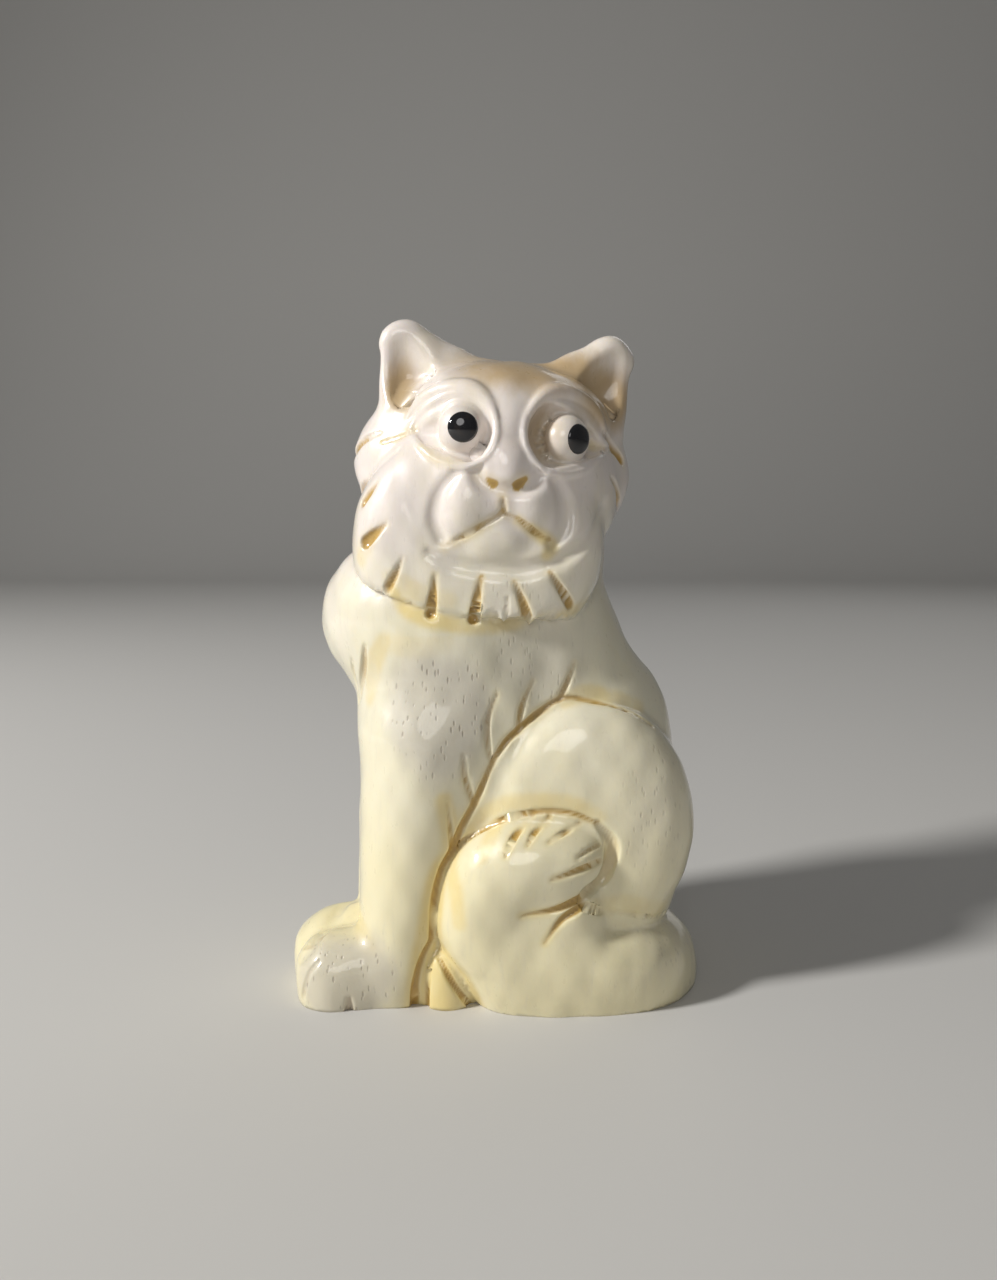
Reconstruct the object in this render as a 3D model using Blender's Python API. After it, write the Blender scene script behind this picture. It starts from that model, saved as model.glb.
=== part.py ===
"""Seated cat, a small figure carved in one piece from an ivory-coloured block, with two inlaid pupils.

The body sits in profile with its chest towards -X. The head is turned to look along -Y.
The carving is written in hundredths of the figure's height, so every place and radius
below follows FIGURE_HEIGHT. The inlays and the flat of the base have sizes of their own.
"""

import math

import bmesh
import bpy
import numpy as np
from mathutils import Euler, Matrix, Vector

# Driving sizes, in metres
FIGURE_HEIGHT = 0.055        # ear tip to the flat of the base
PUPIL_RADIUS = 0.00118
PUPIL_DEPTH = 0.0012         # rim of an inlay to its hidden end
PUPIL_DOME = 0.00038         # how far its face swells beyond its rim
PUPIL_CLEARANCE = 0.00025    # between an inlay and its hole, all round
FOOT_RELIEF = 0.0002         # trimmed off below, to leave a flat to stand on

SHARE = FIGURE_HEIGHT / 100  # one hundredth of the height
COARSE_GRAIN = 1.3           # grain of the first, rough surface, in shares
FINE_GRAIN = 0.55            # grain of the carved surface, in shares
LINE_SOFTNESS = 0.35         # rounding of a carved line's edges, in shares
LEAST_LINE = 0.5             # radius of the finest line carved, in shares
BODY_TRIANGLES = 9300

# The head is turned and leans a little on the neck
HEAD_CENTRE = np.array((0.5, -2.0, 78.0))
HEAD_TURN = np.array(
    Matrix.Rotation(math.radians(5), 3, "Y") @ Matrix.Rotation(math.radians(7), 3, "Z")
)
EYE_ACROSS, EYE_UP = 7.4, 5.5
EYEBALL = (3.4, 2.8, 3.4)
# Side of the nose as seen from the front, how far out each eyeball is set, and degrees turned from the nose
EYES = {"left": (1, 11.0, 34), "right": (-1, 11.3, 4)}
# How far each ear is shifted across the head, and the height of its tip
EARS = {-1: (-0.9, 17.5), 1: (-0.5, 18.3)}
EAR_HOLLOW_DROP = 3.8        # middle of an ear's hollow, below its tip
AWAY = 1e3


def on_head(across, up, out):
    """A point in the head's own axes: across to the viewer's right, up, and out of the face."""
    return HEAD_CENTRE + HEAD_TURN @ np.array((across, -out, up))


def turned(x=0.0, y=0.0, z=0.0):
    return np.array(Euler([math.radians(a) for a in (x, y, z)]).to_matrix())


# Masses. Each is its middle, its reach, a distance function and the round lumps that rough it out


def ball(centre, radii, turn=np.eye(3)):
    centre, radii = np.array(centre, float), np.array(radii, float)

    def distance(p):
        q = (p - centre) @ turn
        near = np.linalg.norm(q / radii, axis=1)
        slope = np.linalg.norm(q / radii**2, axis=1)
        return near * (near - 1) / np.maximum(slope, 1e-6)

    return centre, radii.max(), distance, [(centre, radii, turn)]


def pillow(centre, radii):
    """Like a ball, but with a fuller, flatter face towards Y."""
    centre, radii = np.array(centre, float), np.array(radii, float)
    a, b, c = radii

    def distance(p):
        q = p - centre
        round_part = (q[:, 0] / a) ** 2 + (q[:, 2] / c) ** 2
        deep = np.abs(q[:, 1] / b)
        k = np.maximum((round_part**2 + deep**4) ** 0.25, 1e-6)
        slope = (round_part * q[:, 0] / a**2, deep**3 / b, round_part * q[:, 2] / c**2)
        slope = np.stack(slope, 1) / k[:, None] ** 3
        return (k - 1) / np.maximum(np.linalg.norm(slope, axis=1), 1e-3)

    return centre, radii.max() * 1.2, distance, [(centre, radii, np.eye(3))]


def bar(a, b, radius_a, radius_b, turn=None, flat=1.0):
    """Round-ended bar that tapers. With a turn it is thinned in the depth of those axes."""
    a, b = np.array(a, float), np.array(b, float)
    along = b - a

    def distance(p):
        if turn is not None:
            q = (p - a) @ turn
            q[:, 1] /= flat
            p = a + q @ turn.T
        h = np.clip((p - a) @ along / (along @ along), 0, 1)
        gap = np.linalg.norm(p - a - h[:, None] * along, axis=1)
        return (gap - (radius_a + (radius_b - radius_a) * h)) * flat

    lumps = []
    for h in np.linspace(0, 1, 5):
        r = radius_a + (radius_b - radius_a) * h
        lumps.append((a + along * h, np.array((r, r * flat, r)), np.eye(3) if turn is None else turn))
    return (a + b) / 2, np.linalg.norm(along) / 2 + max(radius_a, radius_b), distance, lumps


def smooth_path(points, steps):
    """Catmull-Rom curve through points of any dimension."""
    pts = [np.array(q, float) for q in points]
    pts = [2 * pts[0] - pts[1]] + pts + [2 * pts[-1] - pts[-2]]
    out = []
    for a, b, c, d in zip(pts, pts[1:], pts[2:], pts[3:]):
        for t in np.arange(steps) / steps:
            bend = (2 * a - 5 * b + 4 * c - d) * t**2 + (3 * b - a - 3 * c + d) * t**3
            out.append(b + 0.5 * ((c - a) * t + bend))
    return np.array(out + [pts[-2]])


def rope(points, steps=4):
    """Round rope along a smooth path of (x, y, z, radius)."""
    path = smooth_path(points, steps)
    middle = (path[:, :3].min(0) + path[:, :3].max(0)) / 2
    reach = np.linalg.norm(path[:, :3] - middle, axis=1).max() + path[:, 3].max()

    def distance(p):
        d = np.full(len(p), AWAY)
        for a, b in zip(path, path[1:]):
            along = b[:3] - a[:3]
            h = np.clip((p - a[:3]) @ along / (along @ along), 0, 1)
            gap = np.linalg.norm(p - a[:3] - h[:, None] * along, axis=1)
            d = np.minimum(d, gap - (a[3] + (b[3] - a[3]) * h))
        return d

    return middle, reach, distance, [(q[:3], np.full(3, q[3]), np.eye(3)) for q in path]


def blend(a, b, softness):
    h = np.clip(0.5 + 0.5 * (b - a) / softness, 0, 1)
    return b * (1 - h) + a * h - softness * h * (1 - h)


def near_to(p, shape, softness):
    return ((p - shape[0]) ** 2).sum(1) < (shape[1] + softness + 3) ** 2


def add(p, d, shape, softness):
    near = near_to(p, shape, softness)
    d[near] = blend(d[near], shape[2](p[near]), softness)


def cut(p, d, shape, softness):
    near = near_to(p, shape, softness)
    d[near] = -blend(-d[near], shape[2](p[near]), softness)


def head_ball(place, radii, x=0.0, y=0.0, z=0.0):
    """Ball in the head's axes. Its radii are across, deep and tall."""
    return ball(on_head(*place), radii, HEAD_TURN @ turned(x, y, z))


def head_bar(a, b, radius_a, radius_b, flat):
    return bar(on_head(*a), on_head(*b), radius_a, radius_b, HEAD_TURN, flat)


# Body, in shares of the height. Each mass has the softness of its join to what is before it
TRUNK = [
    (ball((7, 0, 32), (20.5, 14, 25)), 1),
    (ball((12.2, 1, 15), (14.2, 15, 15)), 4),
    (ball((13.4, 1, 40), (12.6, 12.5, 11.8)), 3),
    (ball((5.6, 0.5, 54), (12.7, 12.8, 13)), 5),
    (ball((-3, 0, 33), (14, 14.3, 33)), 4),
    (ball((1, 2, 66), (15.5, 11.5, 12)), 3),
    (ball((-3, 0, 2), (20, 11.5, 9)), 2),                    # block left between the feet
]
NEAR_HAUNCH = [
    (pillow((12.8, -5.4, 26.8), (16.4, 11, 19)), 1),
    (ball((12, -6, 14), (14, 9, 12)), 4),
]
FAR_HAUNCH = [(pillow((12.8, 6.2, 26.8), (16.4, 10.8, 19)), 1)]
CHEST_AND_LEGS = [
    (ball((-8.6, -0.5, 56.8), (18.6, 14.5, 14.6)), 1),
    (ball((-6, -4.4, 45), (14.6, 10.6, 17), turned(y=8)), 5),
    (ball((-9.6, 5, 44), (11.4, 8.8, 15), turned(y=8)), 5),
    (bar((-10.2, -6.2, 38), (-14.8, -10.4, 6), 10.7, 6.3), 4),
    (bar((-13, 4.5, 37), (-16.2, -1, 7), 9.4, 6.4), 1.5),
]
FEET = [
    (bar((-15.5, -10.9, 6), (-24.4, -11.3, 4.2), 5.6, 6.1), 1.6),
    (bar((-16, -2.5, 6.4), (-25.5, -3.4, 3.8), 6.4, 6.8), 0.9),
    (ball((-7.6, -11.2, 3.5), (4.7, 5.6, 7)), 0.6),
    (bar((5, 10.5, 5), (-9.5, 11.8, 3.6), 5, 4.8), 1.2),
]
TAIL = [
    (rope((
        (1, 8.5, 4.5, 4), (11, 12, 3.6, 5.4), (18.2, 11.4, 2.8, 6.2), (22.6, 6.5, 2.4, 6.8),
        (24.2, -2.5, 2.6, 7.2), (20.8, -9.6, 5.2, 7.4), (13, -12, 6.3, 7.4), (3.5, -12.3, 7, 7.4),
        (-1.9, -12.4, 11.5, 7.2), (-1.6, -12.4, 17, 7.3),
        (1.6, -12.6, 21, 7.6), (6.4, -12.8, 22.2, 7.2), (10.2, -13.2, 22.8, 6), (11.6, -13.6, 23, 5),
    ), 5), 1),
    (pillow((4.5, -11, 14), (11.5, 8, 11)), 2),
]
RUFF = [(pillow((-3, -3.6, 68), (18.4, 12.2, 18)), 1), (ball((-0.5, 3, 76), (18.3, 12.3, 12.5)), 2)]
# what stands above the hem
RUFF_BLOCK = (np.array((-3, -3.6, 66)), np.array((17, 11.5, 9)), np.eye(3))
SKULL = [
    (head_ball((0, 0.8, -1.5), (17.6, 16, 15.2)), 1),
    (head_ball((-0.6, -4, 2.2), (17, 12.2, 11.6)), 4),       # cheeks and jaw
    (head_ball((0, 9.5, 1.5), (15.5, 11, 6.6)), 3),          # forehead
    (head_ball((-1.2, 1, -1.5), (21, 10.5, 13.4)), 1.2),     # mane
    (head_ball((-1.8, -5.8, -1.5), (19, 11, 10.4)), 1.2),
]
EAR_HOLLOWS = []
for side, (shift, tip) in EARS.items():
    SKULL += [
        (head_bar((side * 11.9 + shift, 10.5, 0.5), (side * 15.5 + shift, tip, 0.3), 7.2, 3.3, 0.6), 1.6),
        (head_bar((side * 4.5, 13.4, 0.5), (side * 14.2 + shift, tip, 0.3), 3, 3, 0.6), 1.6),
    ]
    hollow = (side * 14.6 + shift, tip - EAR_HOLLOW_DROP, 3.8)
    EAR_HOLLOWS.append(head_ball(hollow, (3.7, 2.6, 6), y=side * 20))
MUZZLE = [
    (head_ball((-1.8, 4.2, 9.4), (4.2, 4.8, 7.6), x=-16), 1.6),
    (head_ball((-5.5, -5.2, 10.3), (4.7, 4.8, 5.7)), 1.1),
    (head_ball((2.9, -4.5, 10.4), (4.5, 4.9, 5.7)), 1.1),
    (head_ball((-0.9, -8.8, 10.6), (6.9, 4.1, 4.9)), 0.5),    # chin
    (head_ball((-0.9, 0.7, 13.5), (3.0, 1.9, 3.5)), 0.8),     # nose and its wings
    (head_ball((-3.4, 0.2, 13.6), (1.5, 1.3, 2.5)), 0.5),
    (head_ball((1.6, 0.3, 13.6), (1.5, 1.3, 2.5)), 0.5),
]
# Each socket is round by the nose and drawn out to a corner
SOCKETS = [
    head_bar((-7.8, 5.2, 13.6), (-14.2, 4.8, 4.9), 4.3, 0.7, 0.65),
    head_bar((6.3, 6.0, 14.4), (13.6, 4.9, 8.1), 5.0, 0.8, 1.0),
]
EYEBALLS = [
    head_ball((side * EYE_ACROSS, EYE_UP, deep), EYEBALL, z=side * away) for side, deep, away in EYES.values()
]


def form(p):
    """Distance from the uncarved surface, less than nothing inside it."""
    q = p.copy()
    low = q[:, 2] < 6
    q[low, 2] = 6 - (6 - q[low, 2]) * 0.62        # the flanks drop straight to the ground
    d = np.full(len(p), AWAY)
    for shape, softness in TRUNK:
        add(q, d, shape, softness)
    for group, softness in ((NEAR_HAUNCH, 0.6), (FAR_HAUNCH, 0.6), (CHEST_AND_LEGS, 2.5)):
        limb = np.full(len(p), AWAY)
        for shape, soft in group:
            add(q, limb, shape, soft)
        d = blend(d, limb, softness)
    for shape, softness in FEET:
        add(q, d, shape, softness)
    tail = np.full(len(p), AWAY)
    for shape, softness in TAIL:
        add(q, tail, shape, softness)
    d = blend(d, tail, 0.45)
    # The ruff ends below in a step that slants up and back round the neck
    ruff = np.full(len(p), AWAY)
    for shape, softness in RUFF:
        add(p, ruff, shape, softness)
    hem = (p[:, 2] - (64.6 - 0.184 * p[:, 0] + 0.488 * p[:, 1])) / 1.128
    d = blend(d, -blend(-ruff, hem, 0.8), 0.3)
    skull = np.full(len(p), AWAY)
    for shape, softness in SKULL:
        add(p, skull, shape, softness)
    for hollow in EAR_HOLLOWS:
        cut(p, skull, hollow, 1.2)
    d = blend(d, skull, 0.8)
    for shape, softness in MUZZLE:
        add(p, d, shape, softness)
    for socket in SOCKETS:
        cut(p, d, socket, 0.5)
    for eyeball in EYEBALLS:
        add(p, d, eyeball, 0.15)
    return d


# Lines are drawn on one elevation of the figure and laid on its surface along these ways
LOOKS = {
    "front": (np.array((1, 0, 0)), np.array((0, 0, 1)), np.array((0, 1, 0)), np.zeros(3)),
    "back": (np.array((1, 0, 0)), np.array((0, 0, 1)), np.array((0, -1, 0)), np.zeros(3)),
    "chest": (np.array((0, 1, 0)), np.array((0, 0, 1)), np.array((1, 0, 0)), np.zeros(3)),
    "rump": (np.array((0, 1, 0)), np.array((0, 0, 1)), np.array((-1, 0, 0)), np.zeros(3)),
    "face": (HEAD_TURN[:, 0], HEAD_TURN[:, 2], HEAD_TURN[:, 1], HEAD_CENTRE),
}


def lay(lines, lift):
    """Ropes along drawn lines of (across, up, radius), lifted off the surface by a part of their radius."""
    start, inward, radius = [], [], []
    for look, points in lines:
        across, up, way, origin = LOOKS[look]
        for x, z, r in points:
            start.append(origin + x * across + z * up - way * 45)
            inward.append(way)
            radius.append((max(r, LEAST_LINE),))
    p, inward, radius = np.array(start), np.array(inward), np.array(radius)
    for _ in range(80):
        p = p + np.clip(form(p), -0.5, 2.5)[:, None] * 0.8 * inward
    laid = np.hstack([p + slope_of(form, p)[0] * radius * lift, radius])
    ends = np.cumsum([len(points) for _, points in lines])
    return [rope(part) for part in np.split(laid, ends[:-1])]


def slope_of(surface, p):
    """Unit slope of a distance at each point, its steepness, and the distance itself."""
    d = surface(p)
    slope = np.stack([surface(p + np.eye(3)[i] * 0.04) - d for i in range(3)], 1) / 0.04
    steep = np.maximum(np.linalg.norm(slope, axis=1), 0.3)
    return slope / steep[:, None], steep, d


def eye_ring(across, up, reach, corner):
    """Lid round an eyeball, drawn out to a corner away from the nose."""
    side = 1 if across > 0 else -1
    ring = []
    for angle in np.linspace(0, 2 * math.pi, 15):
        c, s = math.cos(angle), math.sin(angle)
        if c > 0:
            ring.append((across - side * reach * c, up + (reach + 0.2) * s, 0.55))
        else:
            ring.append((across - side * corner * c, up + (reach + 0.2) * s * abs(s) ** 0.4, 0.55 + 0.1 * c))
    return ring


def brow(across, up):
    side = 1 if across > 0 else -1
    arc = []
    for angle in np.radians(np.linspace(30, 160, 7)):
        c = math.cos(angle)
        reach = 4.7 if c > 0 else 7.0
        arc.append((across - side * reach * c, up + 6.1 * math.sin(angle), 1.25 - 0.5 * abs(c)))
    return arc


# Lids: middle across and up, reach towards the nose and away from it
LIDS = ((-7.8, 5.2, 4.1, 6.5), (6.2, 6.0, 4.9, 7.3))
RIDGES = [("face", eye_ring(*lid)) for lid in LIDS] + [("face", brow(*lid[:2])) for lid in LIDS]
GROOVES = [
    # mouth and nostrils
    ("front", [(0.6, 74.4, 0.35), (0.5, 72.5, 0.6), (-2.5, 70.6, 0.6), (-5.3, 69, 0.55), (-7.1, 68, 0.3)]),
    ("front", [(0.7, 72.4, 0.5), (2.9, 71.4, 0.6), (5.3, 69.6, 0.6), (7.7, 68.5, 0.35)]),
    ("front", [(-0.6, 76.3, 0.5), (-1.3, 76.9, 0.35)]),
    ("front", [(2.7, 76.2, 0.8), (3.6, 76.9, 0.5)]),
    # notches of the ruff, widest at its hem
    ("front", [(-13.4, 66.2, 0.3), (-14.3, 64.2, 0.8), (-15.6, 61.9, 1.0)]),
    ("front", [(-8.8, 63.7, 0.3), (-9.1, 61.5, 0.8), (-9.5, 58.6, 1.1)]),
    ("front", [(-2.3, 64, 0.3), (-2.9, 61.1, 0.8), (-3.5, 57.8, 1.2)]),
    ("front", [(1.3, 60.7, 0.3), (1.1, 57.7, 0.5)]),
    ("front", [(2.2, 62.8, 0.3), (3.2, 60.6, 0.8), (4.2, 57.8, 1.1)]),
    ("front", [(7, 64.3, 0.3), (8.4, 62.4, 0.7), (10.2, 59.5, 1.0)]),
    # tufts of the mane
    ("front", [(-15.6, 70.9, 0.3), (-17.3, 69.6, 0.8), (-18.8, 68.3, 1.1)]),
    # shoulder, and the fur in front of the haunch
    ("chest", [(-12.1, 53.6, 0.3), (-10.8, 50, 0.7), (-7.9, 44.8, 0.4)]),
    ("front", [(-0.2, 46.9, 0.3), (-1.5, 43.2, 0.6), (-1.5, 39.6, 0.6), (-0.9, 36.7, 0.4)]),
    ("front", [(5, 48.6, 0.3), (3.4, 45, 0.6), (2.8, 41.2, 0.5)]),
    ("front", [(11, 50.8, 0.3), (9.8, 47.7, 0.6), (8.7, 45.5, 0.6)]),
    ("front", [(-5, 38.2, 0.3), (-4.7, 34.6, 0.6), (-3.5, 30.8, 0.6)]),
    ("front", [(-7.3, 31.2, 0.2), (-6.9, 27.2, 0.5), (-6.7, 24, 0.5)]),
    # edge of the haunch, from the hind foot up over the thigh
    ("front", [
        (-9.8, 10.5, 0.5), (-9.3, 16.8, 0.7), (-8.2, 21.3, 0.7), (-6.6, 24, 0.8), (-5.4, 27.3, 0.7),
        (-3.4, 31, 0.7), (-1, 36.6, 0.6), (1, 39.8, 0.7), (3.4, 42, 0.7), (6, 44, 0.7),
        (9.2, 45.8, 0.6), (13.3, 45.4, 0.5), (17.7, 44.3, 0.4), (22.4, 41.6, 0.3),
    ]),
    # hind toes
    ("front", [(-9.8, 10.5, 0.5), (-11.2, 7.8, 0.7), (-12.1, 4.1, 0.8), (-12.4, 0, 0.9)]),
    ("front", [(-9.9, 7.2, 0.3), (-10.4, 3.9, 0.6), (-10.6, 0, 0.7)]),
    ("front", [(-8.9, 8.2, 0.3), (-7.6, 6.2, 0.6), (-5.7, 3, 0.6), (-4, 0, 0.6)]),
    # outline of the tail's curl
    ("front", [
        (-6.3, 24.1, 0.5), (-4.2, 25.8, 0.5), (0.2, 28.5, 0.6), (5.2, 30.1, 0.6), (10.2, 30, 0.7),
        (14.1, 28.5, 1.0), (16.2, 25.7, 1.3), (16.1, 22.8, 1.4), (14.7, 20.2, 1.3), (12.6, 18.7, 1.2),
        (12.1, 17.2, 1.0), (14.7, 15.7, 0.7), (19.9, 14.5, 0.6), (24.8, 13.1, 0.5),
    ]),
    # hair of the tail's tip
    ("front", [(4.9, 29.7, 0.4), (2.5, 27.3, 0.7), (1, 24.6, 0.3)]),
    ("front", [(7.2, 29.4, 0.4), (5.3, 27.7, 0.6), (4, 26, 0.3)]),
    ("front", [(11.6, 28.5, 0.4), (9.5, 27.5, 0.6), (7, 26.4, 0.3)]),
    ("front", [(14.4, 25.5, 0.4), (12.7, 25.1, 0.5), (11.1, 24.3, 0.3)]),
    ("front", [(14.5, 23.4, 0.5), (11.5, 22.6, 0.7), (7.5, 21.4, 0.3)]),
    ("front", [(11.5, 18.1, 0.8), (8, 16.7, 0.7), (3.3, 15.9, 0.3)]),
    ("front", [(11.5, 16.7, 0.8), (9, 15.2, 0.7), (6.6, 11.8, 0.3)]),
    # front paw, with the small chip in its lower edge
    ("front", [(-26.1, 7.6, 0.2), (-27.7, 5.7, 0.5), (-28.6, 2, 0.5)]),
    ("front", [(-21.7, 2.4, 0.5), (-21.8, 0.2, 0.9)]),
]
# Out of the photographed side: tufts down both edges of the mane and across its back
for height in (82.5, 76):
    for look in ("chest", "rump"):
        GROOVES.append((look, [(-8, height + 1.5, 0.3), (-5.5, height, 0.8), (-2.5, height - 2, 1.0)]))
for across in (-13, -8, -3, 2, 7, 12):
    GROOVES.append(("back", [(across, 74.5, 0.3), (across + 0.3, 72.5, 0.6), (across + 0.6, 69.8, 0.9)]))
GROOVES += [
    ("back", [
        (-7.5, 9.5, 0.5), (-8.6, 14.5, 0.6), (-8, 20, 0.6), (-5.4, 27.3, 0.6), (-1.6, 35.4, 0.6),
        (3.4, 42, 0.6), (9.2, 45.6, 0.5), (15.5, 45, 0.45), (21.5, 41.8, 0.25),
    ]),
    ("back", [(-8.5, 44.5, 0.25), (-6.6, 40, 0.5), (-3.2, 36, 0.4)]),
    ("back", [(-3, 48.5, 0.25), (-1.4, 44.4, 0.5), (2, 41.2, 0.4)]),
    ("back", [(-11, 35.5, 0.25), (-9.2, 31, 0.5), (-6, 27, 0.4)]),
    ("back", [(-10.4, 7.4, 0.3), (-11.6, 4.4, 0.5), (-11.8, 0, 0.6)]),
    ("back", [(-8, 8, 0.3), (-8.6, 4.6, 0.5), (-8.4, 0, 0.6)]),
    ("back", [(-27, 8.4, 0.2), (-28.4, 6, 0.4), (-29, 1.5, 0.5)]),
]

CORDS = lay(RIDGES, -0.35)
CUTS = lay(GROOVES, 0.25)


def carved(p):
    d = form(p)
    for cord in CORDS:
        add(p, d, cord, 0.9)
    for eyeball in EYEBALLS:
        add(p, d, eyeball, 0.1)
    for groove in CUTS:
        cut(p, d, groove, LINE_SOFTNESS)
    return d


def settle(obj, surface, rounds):
    """Move every vertex onto the surface. The slope is found again before every second move."""
    p = np.empty(len(obj.data.vertices) * 3)
    obj.data.vertices.foreach_get("co", p)
    p = p.reshape(-1, 3)
    for _ in range(rounds):
        slope, steep, d = slope_of(surface, p)
        p = p - np.clip(d / steep, -1.2, 1.2)[:, None] * slope
        p = p - np.clip(surface(p) / steep, -0.6, 0.6)[:, None] * slope
    obj.data.vertices.foreach_set("co", p.ravel())
    obj.data.update()


def apply_modifier(obj, kind, **values):
    modifier = obj.modifiers.new(kind.title(), kind)
    for name, value in values.items():
        setattr(modifier, name, value)
    view = bpy.context.evaluated_depsgraph_get()
    mesh = bpy.data.meshes.new_from_object(obj.evaluated_get(view))
    obj.modifiers.clear()
    obj.data = mesh


def material(name, colour, roughness, subsurface):
    result = bpy.data.materials.new(name)
    result.use_nodes = True
    shader = result.node_tree.nodes["Principled BSDF"]
    shader.inputs["Base Color"].default_value = (*colour, 1)
    shader.inputs["Roughness"].default_value = roughness
    shader.inputs["Metallic"].default_value = 0
    shader.inputs["Subsurface Weight"].default_value = subsurface
    return result


def new_object(name, mesh):
    obj = bpy.data.objects.new(name, mesh)
    bpy.context.scene.collection.objects.link(obj)
    return obj


for old in list(bpy.data.objects):
    bpy.data.objects.remove(old, do_unlink=True)

# Rough out the block from the same masses
lumps = [RUFF_BLOCK]
for group in (TRUNK, NEAR_HAUNCH, FAR_HAUNCH, CHEST_AND_LEGS, FEET, TAIL, SKULL, MUZZLE):
    for shape, _ in group:
        lumps += shape[3]
rough = bmesh.new()
for centre, radii, turn in lumps:
    place = Matrix.Translation(centre) @ Matrix(turn.tolist()).to_4x4() @ Matrix.Diagonal((*radii, 1))
    bmesh.ops.create_icosphere(rough, subdivisions=3, radius=1, matrix=place)
cat_mesh = bpy.data.meshes.new("cat_body")
rough.to_mesh(cat_mesh)
rough.free()
cat = new_object("cat_body", cat_mesh)

# Carve it, then leave triangles only where the form needs them
apply_modifier(cat, "REMESH", mode="VOXEL", voxel_size=COARSE_GRAIN)
settle(cat, form, 5)
apply_modifier(cat, "REMESH", mode="VOXEL", voxel_size=FINE_GRAIN)
settle(cat, carved, 3)
apply_modifier(cat, "SMOOTH", factor=0.5, iterations=3)
apply_modifier(cat, "TRIANGULATE")
apply_modifier(cat, "DECIMATE", ratio=BODY_TRIANGLES / len(cat.data.polygons))

# Trim the underside flat, centre the figure over its origin and bring it to its real size
body = bmesh.new()
body.from_mesh(cat.data)
foot = FOOT_RELIEF / SHARE
everything = body.verts[:] + body.edges[:] + body.faces[:]
trim = bmesh.ops.bisect_plane(
    body, geom=everything, plane_co=(0, 0, foot), plane_no=(0, 0, -1), clear_outer=True
)
rim = [edge for edge in trim["geom_cut"] if isinstance(edge, bmesh.types.BMEdge)]
bmesh.ops.holes_fill(body, edges=rim, sides=0)
bmesh.ops.triangulate(body, faces=body.faces[:])
low = Vector([min(v.co[i] for v in body.verts) for i in range(3)])
high = Vector([max(v.co[i] for v in body.verts) for i in range(3)])
middle = (low + high) / 2
TO_FRAME = Matrix.Scale(SHARE, 4) @ Matrix.Translation((-middle.x, -middle.y, -foot))
bmesh.ops.transform(body, matrix=TO_FRAME, verts=body.verts)
body.to_mesh(cat.data)
body.free()


def lathe(name, profile, frame):
    """Closed round body from a profile of (radius, height) that starts and ends on its axis."""
    bm = bmesh.new()
    verts = [bm.verts.new((r, 0, h)) for r, h in profile]
    edges = [bm.edges.new(pair) for pair in zip(verts, verts[1:])]
    bmesh.ops.spin(bm, geom=verts + edges, axis=(0, 0, 1), cent=(0, 0, 0), steps=40, angle=2 * math.pi)
    bmesh.ops.remove_doubles(bm, verts=bm.verts, dist=1e-7)
    bmesh.ops.recalc_face_normals(bm, faces=bm.faces)
    mesh = bpy.data.meshes.new(name)
    bm.to_mesh(mesh)
    bm.free()
    mesh.transform(frame)
    return new_object(name, mesh)


ivory = material("ivory", (0.80, 0.76, 0.62), 0.28, 0.15)
jet = material("black_inlay", (0.012, 0.012, 0.014), 0.12, 0.0)
cat.data.materials.append(ivory)

# A domed disc let into each eyeball, in a hole that clears it all round
for name, (side, deep, away) in EYES.items():
    turn = HEAD_TURN @ turned(z=side * away)
    out = Vector(turn @ np.array((0, -1, 0)))
    ball_share = PUPIL_RADIUS / SHARE / EYEBALL[0]
    rim_out = EYEBALL[1] * math.sqrt(max(1 - ball_share**2, 0.05))
    seat = Vector(on_head(side * EYE_ACROSS, EYE_UP, deep)) + out * rim_out
    frame = Matrix.Translation(TO_FRAME @ seat) @ out.to_track_quat("Z", "Y").to_matrix().to_4x4()
    dome = [
        (PUPIL_RADIUS * math.cos(a), PUPIL_DOME * math.sin(a)) for a in np.radians(np.linspace(0, 90, 7))
    ]
    pupil = lathe("pupil_" + name, [(0, -PUPIL_DEPTH), (PUPIL_RADIUS, -PUPIL_DEPTH)] + dome, frame)
    pupil.data.materials.append(jet)
    hole_radius, hole_depth = PUPIL_RADIUS + PUPIL_CLEARANCE, PUPIL_DEPTH + PUPIL_CLEARANCE
    hole_top = EYEBALL[1] * SHARE
    hole = lathe(
        "hole_" + name,
        [(0, -hole_depth), (hole_radius, -hole_depth), (hole_radius, hole_top), (0, hole_top)],
        frame,
    )
    hole.hide_render = True
    hole.display_type = "WIRE"
    socket = cat.modifiers.new("hole " + name, "BOOLEAN")
    socket.operation = "DIFFERENCE"
    socket.solver = "EXACT"
    socket.object = hole

cat.data.shade_smooth()
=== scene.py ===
import math
import time
from concurrent.futures import ThreadPoolExecutor

import bmesh
import bpy
import numpy as np
from mathutils import Euler, Matrix, Vector


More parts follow.
